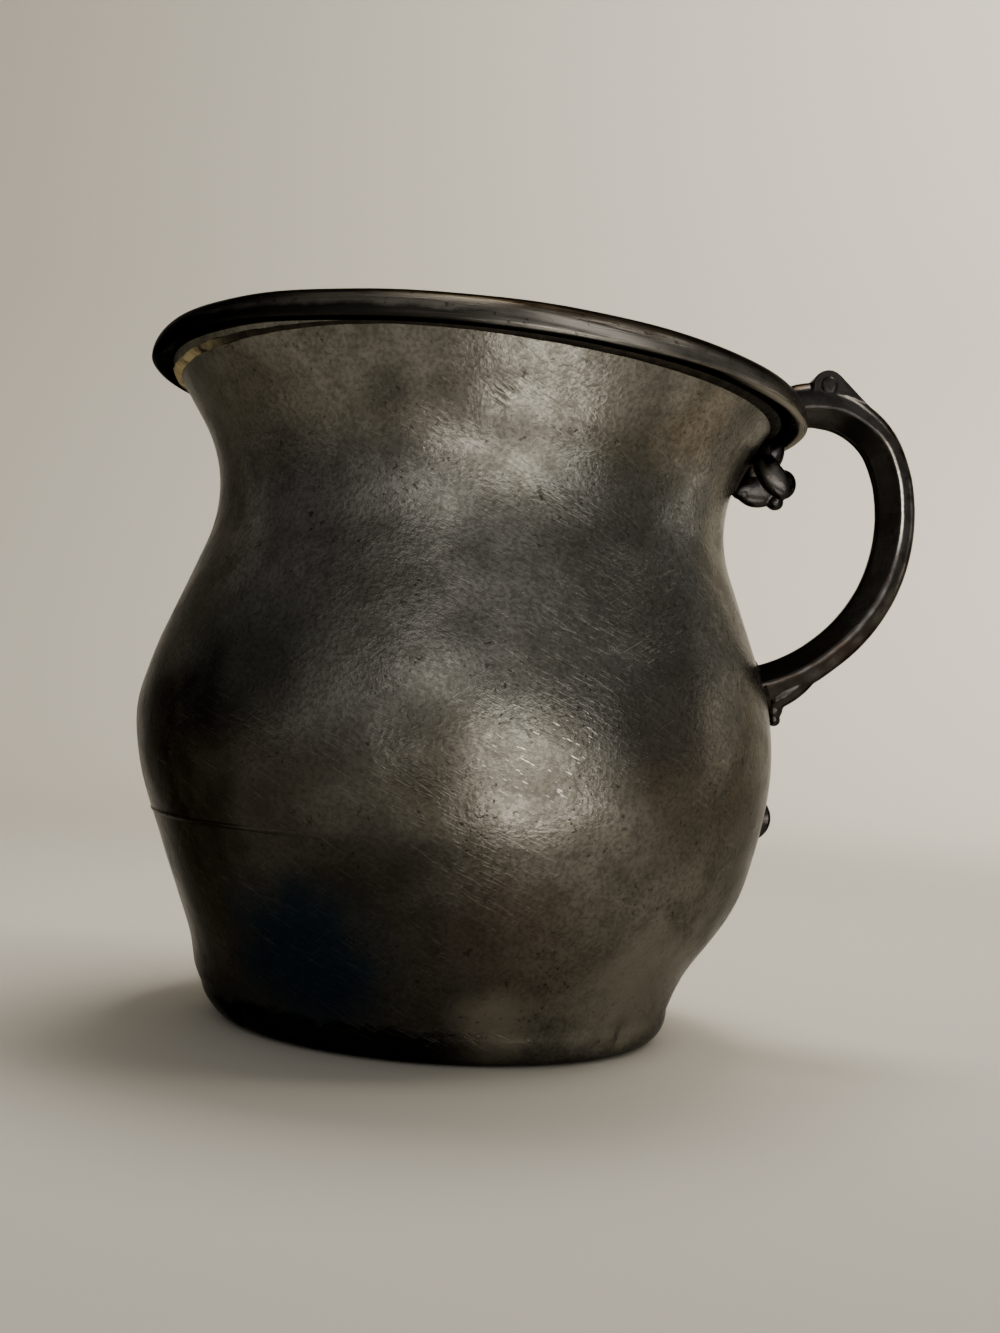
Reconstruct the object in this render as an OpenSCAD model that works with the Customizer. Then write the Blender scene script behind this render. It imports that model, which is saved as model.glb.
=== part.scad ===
// Small pewter creamer: a body of two soldered shells, a heavy applied rim
// that rises away from the handle, and a cast scroll handle with its bracket.
// Millimetres. The origin is the centre of the foot, Z is up, the handle is on +X.

/* [Body] */
// Largest radius of the belly
belly_r = 42.7; // [41:0.1:44]
// Height of the largest radius
belly_z = 37; // [35:0.5:39]
// Radius of the profile curve above the largest radius
belly_upper_curve = 36; // [30:0.5:40]
// Radius of the profile curve below the largest radius
belly_lower_curve = 28; // [22:0.5:34]
// Smallest radius of the neck
waist_r = 34.5; // [33:0.1:36]
// Height of the smallest radius
waist_z = 68.7; // [66:0.1:71]
// Radius of the profile curve at the neck
waist_curve = 19; // [14:0.5:24]
// Outer radius of the neck where the rim starts
throat_r = 40.2; // [39.2:0.1:41.2]
// Wall thickness of both shells
wall = 1.6; // [1.2:0.1:2]

/* [Foot and base] */
// Largest radius of the foot
foot_r = 30.3; // [28.5:0.1:32]
// Rounding of the foot's lower edge
foot_edge = 2.2; // [1.5:0.1:3]
// Radius of the opening under the base
foot_bore_r = 26; // [24:0.1:26.5]
// Height of the ledge that carries the base
base_z = 3; // [2.4:0.1:4]
// Thickness of the base
base_t = 1.4; // [1:0.1:2]
// Rise of the base's dome
dome_h = 1.5; // [0.8:0.1:2.5]
// Width of the base's flat border
base_border = 3.5; // [2:0.5:6]

/* [Seam] */
// Height of the seam between the shells
seam_z = 26.5; // [22:0.5:30]
// Height of the tongue that the upper shell slips over
lap = 3; // [2:0.5:5]
// Depth of the solder groove round the seam
groove = 0.5; // [0.3:0.1:0.7]

/* [Rim] */
// How far the rim stands out past the neck
rim_overhang = 4.5; // [3.8:0.1:5.4]
// Height of the rim's underside on the jug's axis
rim_z = 83.2; // [81.5:0.1:85]
// Height of the rim band
rim_h = 4.8; // [4.2:0.1:5.4]
// Rounding of the rim's outer face
rim_round = 3.6; // [2.6:0.1:4]
// How far the mouth lies inside the neck's outer radius
mouth_inset = 1.4; // [1:0.1:1.8]
// Rounding of the mouth's edge
mouth_edge = 1.5; // [0.8:0.1:2]
// How far the wall reaches up into the rim
seat_depth = 2.2; // [1.6:0.1:2.8]
// Angle by which the rim falls towards the handle
rake = 2; // [0.5:0.1:3]

/* [Handle] */
// Radius of the upper bend's centre line
bend_r = 10.3; // [9:0.1:12]
// How far the bend's centre lies outside the rim
bend_out = 2.1; // [1.2:0.1:3.2]
// Height of the limb's centre line over the rim's underside, at the handle
limb_rise = 5.9; // [5.2:0.1:7]
// Height of the middle of the handle's foot on the belly
handle_foot_z = 48.1; // [46:0.1:51]
// Half depth of the handle at its fullest
handle_depth = 3.1; // [2.6:0.1:3.6]
// Half width of the handle at its fullest
handle_width = 3.5; // [2.8:0.1:4.2]
// Radius of the thumb scroll
thumb_r = 2.1; // [1.6:0.1:2.6]
// Radius of the eye sunk in each side of the thumb scroll
eye_r = 1; // [0.6:0.1:1.4]
// Radius of the flute in each side of the handle's foot
flute_r = 1.3; // [0.8:0.1:1.6]
// Length of the hooked tail below the foot
tail_drop = 4.3; // [3.5:0.1:5.5]
// Radius of the bead that ends the tail
tail_r = 0.9; // [0.6:0.1:1.2]

/* [Bracket and drop] */
// How far the bracket's eye stands out from the neck
bracket_out = 4.3; // [3.8:0.1:4.8]
// How far the bracket's eye lies below the rim
bracket_drop = 5.2; // [4.6:0.1:5.8]
// Radius of the bracket's scroll along its centre line
bracket_r = 2.2; // [1.8:0.1:2.6]
// Half width of the bracket's scroll
bracket_width = 3.2; // [2.4:0.1:4]
// Height of the middle of the drop on the belly
drop_z = 30.1; // [28.5:0.1:33]
// Length of the drop
drop_l = 6; // [4:0.1:8]
// Width of the drop
drop_w = 4; // [3:0.1:6]
// How far the drop stands out from the belly
drop_h = 2; // [1.4:0.1:2.4]

/* [Fits] */
// Clearance between pieces that slip together
fit = 0.05; // [0.03:0.01:0.1]
// Gap under a soldered piece
joint_gap = 0.1; // [0.05:0.01:0.15]
// Size of a solder fillet
solder = 0.9; // [0.6:0.1:1.2]

/* [Hidden] */
$fn = 120;
pewter = "#6f6a60";
gunmetal = "#3a3936";
solder_grey = "#8d8672";

// Largest radius of an arc that starts upright and still lets a line reach a point
function arc_room(dr, dz) = (dr * dr + dz * dz) / (2 * dr);
// Angle at which a tangent leaves an upright arc for a point at dr, dz from the arc's start
function tangent_angle(dr, dz, r) = atan2(dz, r - dr) - acos(min(1, r / norm([r - dr, dz])));

// The profile's arcs: each is limited by the room between its neighbours
neck_drop = arc_room(belly_r - waist_r, waist_z - belly_z);
upper_share = min(1, neck_drop / (belly_upper_curve + waist_curve));
upper_r = belly_upper_curve * upper_share;
neck_r = min(waist_curve * upper_share, arc_room(throat_r - waist_r, rim_z - waist_z));
lower_r = min(belly_lower_curve, arc_room(belly_r - foot_r, belly_z - foot_edge));
// The angles of the three straight flanks, from upright
lower_angle = tangent_angle(belly_r - foot_r, belly_z - foot_edge, lower_r);
upper_angle = tangent_angle(belly_r - waist_r, waist_z - belly_z, upper_r + neck_r);
flare_angle = tangent_angle(throat_r - waist_r, rim_z - waist_z, neck_r);
// Centres of the arcs, and the flanks' outward normals
lower_c = [belly_r - lower_r, belly_z];
upper_c = [belly_r - upper_r, belly_z];
neck_c = [waist_r + neck_r, waist_z];
lower_n = [cos(lower_angle), -sin(lower_angle)];
upper_n = [cos(upper_angle), sin(upper_angle)];
flare_n = [cos(flare_angle), -sin(flare_angle)];
past_rim = rim_h + 4;
rim_r = throat_r + rim_overhang;
mouth_r = throat_r - mouth_inset;

// Ends of the arcs and flanks, on the surface that lies inset inside the outer one
function flank_start(inset) = [foot_r, foot_edge] - inset * lower_n;
function belly_start(inset) = lower_c + (lower_r - inset) * lower_n;
function belly_end(inset) = upper_c + (upper_r - inset) * upper_n;
function waist_start(inset) = neck_c - (neck_r + inset) * upper_n;
function waist_end(inset) = neck_c - (neck_r + inset) * flare_n;
function flare_end(inset) = [throat_r, rim_z] - inset * flare_n + past_rim * [-flare_n.y, flare_n.x];
// Radius at a height on the flank that passes a point at an angle from upright
function on_flank(p, angle, z) = p.x + (z - p.y) * tan(angle);
function bulge(c, r, z) = c.x + sqrt(max(0, r * r - (z - c.y) * (z - c.y)));

// Outer radius of the body at a height
function body_r(z) =
    z < belly_start(0).y ? on_flank(flank_start(0), lower_angle, z) :
    z < belly_z ? bulge(lower_c, lower_r, z) :
    z < belly_end(0).y ? bulge(upper_c, upper_r, z) :
    z < waist_start(0).y ? on_flank(belly_end(0), -upper_angle, z) :
    z < waist_end(0).y ? 2 * neck_c.x - bulge(neck_c, neck_r, z) :
    on_flank(waist_end(0), flare_angle, z);
// Inner radius of the wall on the lower flank
function flank_inner_r(z) = on_flank(flank_start(wall), lower_angle, z);
base_r = flank_inner_r(base_z) - fit;

// A slice of the half plane between two heights
module level(z0, z1) translate([0, z0]) square([2 * belly_r, z1 - z0]);

// The half section of everything inside the surface that lies inset inside the outer one:
// the flanks run on past the belly, then the belly's arcs are cut and the waist's arc is cut in.
// Each arc is a hair larger than the tangent one, so that it crosses its flanks cleanly.
ease = 0.002;
overlap = 0.01;
module inside(inset) difference() {
    polygon([
        [0, -foot_edge], [on_flank(flank_start(inset), lower_angle, -foot_edge), -foot_edge],
        [on_flank(flank_start(inset), lower_angle, belly_z), belly_z],
        [on_flank(belly_end(inset), -upper_angle, belly_z), belly_z],
        waist_start(inset), waist_end(inset), flare_end(inset), [0, flare_end(inset).y]]);
    difference() {
        level(belly_start(inset).y, belly_z + overlap);
        translate(lower_c) circle(lower_r - inset + ease);
    }
    difference() {
        level(belly_z - overlap, belly_end(inset).y);
        translate(upper_c) circle(upper_r - inset + ease);
    }
    translate(neck_c) circle(neck_r + inset + ease);
}

// Everything that the body fills or holds, grown by a gap
module body_space(gap) rotate_extrude() inside(-gap);

// The same, but only below the rim at the handle
module belly_space(gap) rotate_extrude() intersection() {
    inside(-gap);
    level(-foot_edge, rim_side_z);
}

// Places its children on the rim's underside, which falls towards the handle
module raked() translate([0, 0, rim_z]) rotate([0, rake, 0]) children();

// The V of the seam's groove: its root and its two edges on the skin
seam_root = [body_r(seam_z) - groove, seam_z];
seam_low = [body_r(seam_z - groove), seam_z - groove];
seam_high = [body_r(seam_z + groove), seam_z + groove];

// The groove as a cut, run on past the skin
module seam_cut() polygon([
    seam_root, seam_root + 1.5 * (seam_low - seam_root), seam_root + 1.5 * (seam_high - seam_root)]);

// Rim half section on its own underside, grown by a gap
module rim_section(gap) {
    nose_r = min(rim_round, rim_h - 0.6, rim_overhang + mouth_inset - mouth_edge - 0.2);
    nose_x = rim_r - nose_r;
    intersection() {
        translate([nose_x, rim_h - nose_r]) circle(nose_r + gap);
        translate([mouth_r, -gap]) square([2 * rim_r, 2 * rim_h]);
    }
    translate([mouth_r - gap, -gap]) square([nose_x - mouth_r + gap + overlap, rim_h - mouth_edge + gap]);
    translate([mouth_r + mouth_edge, 0]) square([nose_x - mouth_r - mouth_edge, rim_h + gap]);
    translate([mouth_r + mouth_edge, rim_h - mouth_edge]) circle(mouth_edge + gap);
}

// Everything that the rim fills, grown by a gap
module rim_space(gap) raked() rotate_extrude() rim_section(gap);

// The shell from the seam to the rim, lapping over the lower shell's tongue
module upper_body() color(pewter) difference() {
    rotate_extrude() difference() {
        intersection() {
            inside(0);
            level(seam_z + fit, rim_z + past_rim);
        }
        inside(wall);
        intersection() {
            inside(wall / 2);
            level(seam_z, seam_z + lap + fit);
        }
        seam_cut();
    }
    raked() translate([-2 * rim_r, -2 * rim_r, seat_depth]) cube([4 * rim_r, 4 * rim_r, 4 * past_rim]);
}

// The shell from the foot to the seam, with its tongue and the base's ledge
module lower_body() color(pewter) rotate_extrude() difference() {
    union() {
        intersection() {
            inside(0);
            level(foot_edge - overlap, seam_z);
        }
        translate([foot_r - foot_edge, foot_edge]) circle(foot_edge);
        square([foot_r - foot_edge, foot_edge]);
        intersection() {
            inside(wall / 2 + fit);
            level(seam_z - lap, seam_z + lap);
        }
    }
    intersection() {
        inside(wall);
        level(base_z, seam_z + 2 * lap);
    }
    square([foot_bore_r, base_z]);
    seam_cut();
}

// The domed base, carried by the ledge
module base_disc() color(pewter) rotate_extrude() translate([0, base_z + fit]) {
    span = base_r - base_border;
    dome_r = arc_room(dome_h, span);
    difference() {
        union() {
            square([base_r, base_t]);
            intersection() {
                translate([0, dome_h - dome_r]) circle(dome_r + base_t);
                square([span, base_t + dome_h]);
            }
        }
        translate([0, dome_h - dome_r]) circle(dome_r);
    }
}

// The heavy moulding round the mouth, rabbeted to take the wall's end
module rim_band() color(pewter) difference() {
    rim_space(0);
    intersection() {
        body_space(fit);
        raked() translate([0, 0, -rim_h]) cylinder(r = rim_r, h = rim_h + seat_depth + fit);
    }
}

// Solder in the seam's groove
module seam_solder() color(solder_grey) rotate_extrude()
    polygon([seam_root + [fit, 0], seam_low + [0, fit], seam_high - [0, fit]]);

// Solder in the corner under the rim, a bead that follows the neck
module rim_solder() color(solder_grey) difference() {
    rim_bead(0);
    body_space(joint_gap);
}

// The bead's ring, grown by a gap: it is centred on the corner and cut off under the rim
bead_r = 1.3 * solder;
neck_shift = throat_r * tan(flare_angle) * tan(rake);
module rim_bead(gap) raked() translate([-neck_shift, 0, 0]) rotate_extrude() intersection() {
    translate([throat_r, 0]) circle(bead_r + gap);
    translate([0, gap - fit - 2 * rim_h]) square([2 * rim_r, 2 * rim_h]);
}

// Solder in the corner between the base and the wall
module base_solder() color(solder_grey) rotate_extrude() intersection() {
    floor_z = base_z + base_t + 2 * fit;
    inside(wall + fit);
    polygon([
        [base_r - solder, floor_z],
        [base_r + wall, floor_z],
        [base_r + wall, floor_z + solder],
        [flank_inner_r(floor_z + solder), floor_z + solder]]);
}

// The handle's centre line: a tight bend over the rim, then one long arc to the belly
rim_side_z = rim_z - rim_r * sin(rake);
bend_c = [rim_r + bend_out, rim_side_z + limb_rise - bend_r];
bend_start = 118;
bend_end = 24;
bend_n = [cos(bend_end), sin(bend_end)];
sweep_start = bend_c + bend_r * bend_n;
foot_point = [body_r(handle_foot_z), handle_foot_z];
to_foot = foot_point - sweep_start;
sweep_r = (to_foot * to_foot) / (-2 * (to_foot * bend_n));
sweep_c = sweep_start - sweep_r * bend_n;
from_c = foot_point - sweep_c;
foot_angle = atan2(from_c.y, from_c.x);
// How far the cast limb runs on past the belly's surface before it is cut to fit
foot_run = 4;
bend_steps = 18;
sweep_steps = 22;
handle_steps = bend_steps + sweep_steps;
// Each station is the arc's centre, its radius and the angle on it
function station(i) = i <= bend_steps
    ? [bend_c, bend_r, bend_start + (bend_end - bend_start) * i / bend_steps]
    : [sweep_c, sweep_r, bend_end + (foot_angle - foot_run - bend_end) * (i - bend_steps) / sweep_steps];
function station_point(i) = let (s = station(i)) s[0] + s[1] * [cos(s[2]), sin(s[2])];
// Fullness of the casting along the handle, as shares of its largest half depth and half width
function depth_at(i) = handle_depth * lookup(i / handle_steps,
    [[0, 0.55], [0.05, 0.78], [0.2, 0.9], [0.45, 1], [0.6, 0.94], [0.85, 0.78], [1, 0.88]]);
function width_at(i) = handle_width * lookup(i / handle_steps,
    [[0, 0.6], [0.05, 0.85], [0.2, 1], [0.5, 0.95], [0.85, 0.76], [1, 0.95]]);
// The section has a round back and flatter sides, which meet in a ridge along each side
section_sides = 24;
ridge = 0.4;
function half_width_at(c) = c < 0 ? pow(1 + c, 0.75) : sqrt(1 - c * c);
function section_point(t) = let (c = cos(t))
    [ridge + (c < 0 ? 1 + ridge : 1 - ridge) * c, sign(sin(t)) * half_width_at(c)];
function section(depth, width) = [for (k = [0:section_sides - 1])
    let (p = section_point(360 * k / section_sides)) [depth * p.x, width * p.y]];
slice_t = 0.02;

// One cross section of the limb, grown by a gap
module limb_slice(i, gap) {
    p = station_point(i);
    translate([p.x, 0, p.y]) rotate([0, -station(i)[2], 0]) linear_extrude(slice_t, center = true)
        polygon(section(depth_at(i) + gap, width_at(i) + gap));
}

// The limb between two stations, grown by a gap
module limb(first, last, gap) for (i = [first:last - 1]) hull() {
    limb_slice(i, gap);
    limb_slice(i + 1, gap);
}

// A short roll along Y with eased ends, centred on a point of the handle's plane
module roll(p, r, half_width) translate([p.x, 0, p.y]) rotate([90, 0, 0]) {
    ease = 0.4 * r;
    cylinder(r = r, h = 2 * (half_width - ease), center = true, $fn = 24);
    cylinder(r = r - ease, h = 2 * half_width, center = true, $fn = 24);
}

// The thumb scroll, which grows out of the back of the bend
thumb_back = 45;
thumb_c = bend_c + [0.1 * bend_r, bend_r + 0.9 * handle_depth];
module thumb_scroll() {
    heel_r = 0.4 * thumb_r;
    heel = bend_c + (bend_r + 0.95 * handle_depth - heel_r) * [cos(thumb_back), sin(thumb_back)];
    difference() {
        hull() {
            roll(thumb_c, thumb_r, 0.95 * handle_width);
            roll(heel, heel_r, 0.6 * handle_width);
        }
        for (side = [-1, 1]) translate([thumb_c.x, side * handle_width, thumb_c.y + thumb_r / 3])
            sphere(eye_r, $fn = 24);
    }
}

// The hooked tail, which lies on the belly below the foot
module tail() {
    root_z = handle_foot_z - 0.6 * handle_depth;
    tip_z = handle_foot_z - tail_drop;
    hull() {
        roll([body_r(root_z) + tail_r, root_z], 1.4 * tail_r, 0.6 * handle_width);
        roll([body_r(tip_z) + 0.6 * tail_r, tip_z], 0.6 * tail_r, 0.35 * handle_width);
    }
    roll([body_r(tip_z) + tail_r, tip_z], tail_r, 0.4 * handle_width);
}

// The flutes that part the foot into two lobes on each side
module flutes() {
    inner = station_point(handle_steps - 1);
    outer = station_point(handle_steps - 6);
    for (side = [-1, 1]) hull() {
        translate([inner.x, side * 0.95 * handle_width, inner.y]) sphere(flute_r, $fn = 24);
        translate([outer.x, side * (width_at(handle_steps - 6) + flute_r), outer.y])
            sphere(flute_r, $fn = 24);
    }
}

// The cast handle, cut to sit on the rim's shoulder and on the belly
module handle() color(gunmetal) difference() {
    union() {
        difference() {
            limb(0, handle_steps, 0);
            flutes();
        }
        thumb_scroll();
        tail();
    }
    rim_space(joint_gap);
    belly_space(joint_gap);
}

// Solder round the limb's landing on the rim
rim_stations = 11;
module handle_top_solder() color(solder_grey) difference() {
    intersection() {
        limb(0, rim_stations, solder);
        rim_space(solder);
    }
    limb(0, rim_stations, fit);
    rim_space(fit);
    raked() translate([0, 0, -rim_h]) cylinder(r = mouth_r + mouth_edge, h = 3 * rim_h);
}

// Solder round the handle's foot on the belly
foot_stations = 9;
module handle_foot_solder() color(solder_grey) difference() {
    intersection() {
        limb(handle_steps - foot_stations, handle_steps, solder);
        body_space(solder);
    }
    limb(handle_steps - foot_stations, handle_steps, fit);
    tail();
    body_space(fit);
}

// The bracket's scroll winds round an eye that stands off the corner of neck and rim
bracket_z = rim_side_z - bracket_drop;
bracket_eye = [body_r(bracket_z) + bracket_out, bracket_z];
bracket_first = 110;
bracket_last = -190;
bracket_steps = 12;
bed = solder / 2;
function bracket_point(i) = let (a = bracket_first + (bracket_last - bracket_first) * i / bracket_steps,
    r = bracket_r * lookup(i, [[0, 2.2], [1, 1.6], [3, 1], [9, 1], [bracket_steps, 1.6]]))
    bracket_eye + r * [cos(a), sin(a)];
function bracket_roll_r(i) = bracket_r * lookup(i, [[0, 0.7], [4, 0.64], [bracket_steps, 0.42]]);

// The scroll's ribbon and the thin web inside it
module bracket_form() {
    for (i = [0:bracket_steps - 1]) hull() {
        roll(bracket_point(i), bracket_roll_r(i), bracket_width);
        roll(bracket_point(i + 1), bracket_roll_r(i + 1), bracket_width);
    }
    hull() {
        roll(bracket_eye, 0.8 * bracket_r, bracket_width / 2);
        for (dz = [bracket_drop, -bracket_r / 2])
            roll([body_r(bracket_z + dz), bracket_z + dz], 0.5 * bracket_r, bracket_width / 2);
    }
}

// The scroll bracket in the corner under the rim
module neck_bracket() color(gunmetal) difference() {
    bracket_form();
    body_space(bed + fit);
    raked() translate([0, 0, -joint_gap]) cylinder(r = rim_r, h = 2 * rim_h);
    rim_bead(joint_gap);
}

// The bed of solder between the bracket and the neck
module bracket_solder() color(solder_grey) intersection() {
    half_l = bracket_r - bed;
    half_w = bracket_width + bed;
    rotate_extrude() difference() {
        intersection() {
            inside(-bed);
            level(bracket_z - half_l, bracket_z + half_l);
        }
        inside(-fit);
    }
    translate([0, -half_w, 0]) cube([2 * belly_r, 2 * half_w, 2 * rim_z]);
}

// The bud on the belly: a leaf outline cut from a low dome
module belly_drop() color(gunmetal) difference() {
    crown = body_r(drop_z) + joint_gap + drop_h;
    crown_r = arc_room(drop_h, drop_l / 2);
    leaf_r = arc_room(drop_w / 2, drop_l / 2);
    intersection() {
        translate([crown - crown_r, 0, drop_z]) sphere(crown_r);
        translate([0, drop_w / 2 - leaf_r, drop_z]) rotate([0, 90, 0])
            cylinder(r = leaf_r, h = 2 * belly_r);
        translate([0, leaf_r - drop_w / 2, drop_z]) rotate([0, 90, 0])
            cylinder(r = leaf_r, h = 2 * belly_r);
    }
    body_space(joint_gap, $fn = 480);
}

upper_body();
lower_body();
base_disc();
rim_band();
handle();
neck_bracket();
belly_drop();
seam_solder();
rim_solder();
base_solder();
handle_top_solder();
handle_foot_solder();
bracket_solder();
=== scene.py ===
# %% [markdown]
# # An old pewter creamer
# The solids of the jug are already packed, with the right sizes. This lesson loads them as a fixed
# frame, and then gives each piece the small dents, lumps, scratches and tarnish of a jug that has been
# used for a very long time. Everything is in metres and in the frame of the solids: Z is up, the handle
# is on +X, and the camera looks along +Y.

import math

import bmesh
import bpy
from mathutils import Matrix, Vector, noise


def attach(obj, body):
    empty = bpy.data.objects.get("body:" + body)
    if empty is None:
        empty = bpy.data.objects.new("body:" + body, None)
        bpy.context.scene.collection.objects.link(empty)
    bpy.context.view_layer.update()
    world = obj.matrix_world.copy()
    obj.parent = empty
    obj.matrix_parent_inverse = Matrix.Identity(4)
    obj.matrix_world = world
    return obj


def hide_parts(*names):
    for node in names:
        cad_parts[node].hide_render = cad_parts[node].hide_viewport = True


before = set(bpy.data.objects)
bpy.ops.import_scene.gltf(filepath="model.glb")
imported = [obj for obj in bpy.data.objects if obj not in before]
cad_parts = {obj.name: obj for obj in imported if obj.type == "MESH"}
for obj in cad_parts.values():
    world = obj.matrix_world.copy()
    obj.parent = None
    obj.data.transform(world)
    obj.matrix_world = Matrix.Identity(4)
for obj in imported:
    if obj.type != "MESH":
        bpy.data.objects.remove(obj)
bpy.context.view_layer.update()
MM = 0.001
print("nodes:", sorted(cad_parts))

# %% [markdown]
# ## The camera
# The photograph looks square at the plane of the handle, from about 21 cm, a little above the middle
# of the belly. The jug leans in the picture by four degrees, so the camera is rolled. A camera in
# Blender looks along its own -Z, so it is first stood upright and then turned by three small angles.

# %% Camera
PHOTO_SIZE = (1000, 1333)
FOCAL_PIXELS = 1520
CAMERA_PLACE = (0, -0.2093, 0.04034)
CAMERA_TURNS = [(90, "X"), (-1.44, "Y"), (2.22, "X"), (4.02, "Z")]
camera_data = bpy.data.cameras.new("camera")
camera_data.sensor_fit = "VERTICAL"
camera_data.sensor_height = 36
camera_data.lens = FOCAL_PIXELS * camera_data.sensor_height / PHOTO_SIZE[1]
camera_data.clip_start = 0.005
camera = bpy.data.objects.new("camera", camera_data)
stance = Matrix.Translation(CAMERA_PLACE)
for degrees, axis in CAMERA_TURNS:
    stance = stance @ Matrix.Rotation(math.radians(degrees), 4, axis)
camera.matrix_world = stance
bpy.context.scene.collection.objects.link(camera)
bpy.context.scene.camera = camera
print("lens %.2f mm" % camera_data.lens)

# %% [markdown]
# ## Nodes and colours
# Materials are made of nodes. One small function adds a node, sets its settings, and either sets or
# links each of its inputs. Colours are picked as sRGB hex values, as a paint program shows them, and
# turned into the linear values that a shader works with.

# %% Helpers for materials
def linear(hex_colour):
    channels = [int(hex_colour[i:i + 2], 16) / 255 for i in (1, 3, 5)]
    return tuple(c / 12.92 if c <= 0.04045 else ((c + 0.055) / 1.055) ** 2.4 for c in channels) + (1.0,)


def plug(tree, node, inputs):
    """Links each input that is given a socket, and sets the others."""
    for key, value in inputs.items():
        if isinstance(value, bpy.types.NodeSocket):
            tree.links.new(value, node.inputs[key])
        else:
            node.inputs[key].default_value = value


def add(tree, kind, settings, inputs):
    made = tree.nodes.new(kind)
    for key, value in settings.items():
        setattr(made, key, value)
    plug(tree, made, inputs)
    return made


def new_material(name):
    made = bpy.data.materials.new(name)
    made.use_nodes = True
    tree = made.node_tree
    return made, tree, tree.nodes["Principled BSDF"]


print("a mid grey is", [round(c, 3) for c in linear("#808080")])

# %% [markdown]
# ## Floor and backdrop
# A photographer's sweep is one sheet that runs along the floor and curves up behind the object, so no
# line shows where the floor ends. Its side view is drawn by extruding one vertex, a spin makes the
# curve, and one extrude along X gives it its width. It lies a hair below zero, so that the sheet and
# the jug's foot do not share a plane.

# %% Sweep
def sweep_sheet(half_width=1.5, front=-0.75, bend=0.55, bend_r=0.35, top=1.6, floor=-0.0001):
    bm = bmesh.new()
    start = bm.verts.new((-half_width, front, floor))
    flat = bmesh.ops.extrude_vert_indiv(bm, verts=[start])["verts"][0]
    flat.co = (-half_width, bend, floor)
    bmesh.ops.spin(bm, geom=[flat], cent=(-half_width, bend, bend_r), axis=(1, 0, 0),
                   angle=math.radians(90), steps=16)
    highest = max(bm.verts, key=lambda v: v.co.z)
    end = bmesh.ops.extrude_vert_indiv(bm, verts=[highest])["verts"][0]
    end.co.z = top
    wide = bmesh.ops.extrude_edge_only(bm, edges=bm.edges[:])["geom"]
    far_side = [g for g in wide if isinstance(g, bmesh.types.BMVert)]
    bmesh.ops.translate(bm, verts=far_side, vec=(2 * half_width, 0, 0))
    bmesh.ops.remove_doubles(bm, verts=bm.verts[:], dist=1e-6)
    bmesh.ops.recalc_face_normals(bm, faces=bm.faces[:])
    mesh = bpy.data.meshes.new("sweep")
    bm.to_mesh(mesh)
    bm.free()
    mesh.polygons.foreach_set("use_smooth", [True] * len(mesh.polygons))
    sheet = bpy.data.objects.new("sweep", mesh)
    bpy.context.scene.collection.objects.link(sheet)
    return sheet


# Matt painted card: no gloss, an even pale warm grey
card, tree, shader = new_material("matt_card")
plug(tree, shader, {"Base Color": linear("#d2cec3"), "Roughness": 0.9})
sweep = sweep_sheet()
sweep.data.materials.append(card)
print("sweep faces:", len(sweep.data.polygons))

# %% [markdown]
# ## Light
# Metal shows what stands around it, so the light is built like a still life of metal. A wide softbox
# lights only the backdrop, which gives the pale edges of the silhouette. The bright patches on belly
# and neck come from panels in front. Two lie low to the right of the lens, like the light of a window
# on a table, a third stands beyond them like the window, and a small one is higher up on the left. One
# more panel stands beside the handle, and a light over the mouth reaches the inside and the floor. Light
# linking keeps the front panels off the floor, where their edges would draw lines. All are hidden from
# the camera itself.

# %% Softboxes
def softbox(name, place, aim, size, watts, spread=180, colour="#fff8f0"):
    data = bpy.data.lights.new(name, "AREA")
    data.shape = "RECTANGLE"
    data.size, data.size_y = size
    data.energy = watts
    data.spread = math.radians(spread)
    data.color = linear(colour)[:3]
    made = bpy.data.objects.new(name, data)
    made.location = place
    made.rotation_euler = (Vector(aim) - Vector(place)).to_track_quat("-Z", "Y").to_euler()
    made.visible_camera = False
    bpy.context.scene.collection.objects.link(made)
    return made


softbox("backdrop_light", (0.8, 0.2, 1.0), (0.6, 0.95, 0.2), (1.2, 0.6), 12.5, 120, "#fff6ea")
front_panels = [
    softbox("near_panel", (0.05, -0.105, 0.003), (0.05, -0.09, 0.1), (0.08, 0.06), 0.045),
    softbox("far_panel", (0.06, -0.255, 0.003), (0.05, -0.2, 0.1), (0.33, 0.18), 0.5),
    softbox("window_panel", (0.14, -0.34, 0.075), (0.0, 0.0, 0.05), (0.28, 0.1), 0.1, 120),
    softbox("shoulder_panel", (-0.085, -0.33, 0.22), (0.0, 0.0, 0.05), (0.15, 0.13), 0.023, 120)]
softbox("handle_panel", (0.45, 0.1, 0.09), (0.05, 0.0, 0.07), (0.12, 0.22), 0.1)
softbox("mouth_light", (0.03, 0.12, 0.6), (0.0, 0.0, 0.04), (0.2, 0.2), 0.24, 60)
jug_only = bpy.data.collections.new("jug_only")
jug_only.objects.link(sweep)
jug_only.collection_objects[0].light_linking.link_state = "EXCLUDE"
for panel in front_panels:
    panel.light_linking.receiver_collection = jug_only

# %% [markdown]
# The room itself is dim, which keeps the belly dark. It is a little lighter in front, behind and on the
# right, as a room with one window is. The camera sees an even pale tone in its place, so from every side
# the jug stands before a plain ground.

# %% Room
SMOOTH = {"interpolation_type": "SMOOTHSTEP"}
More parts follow.
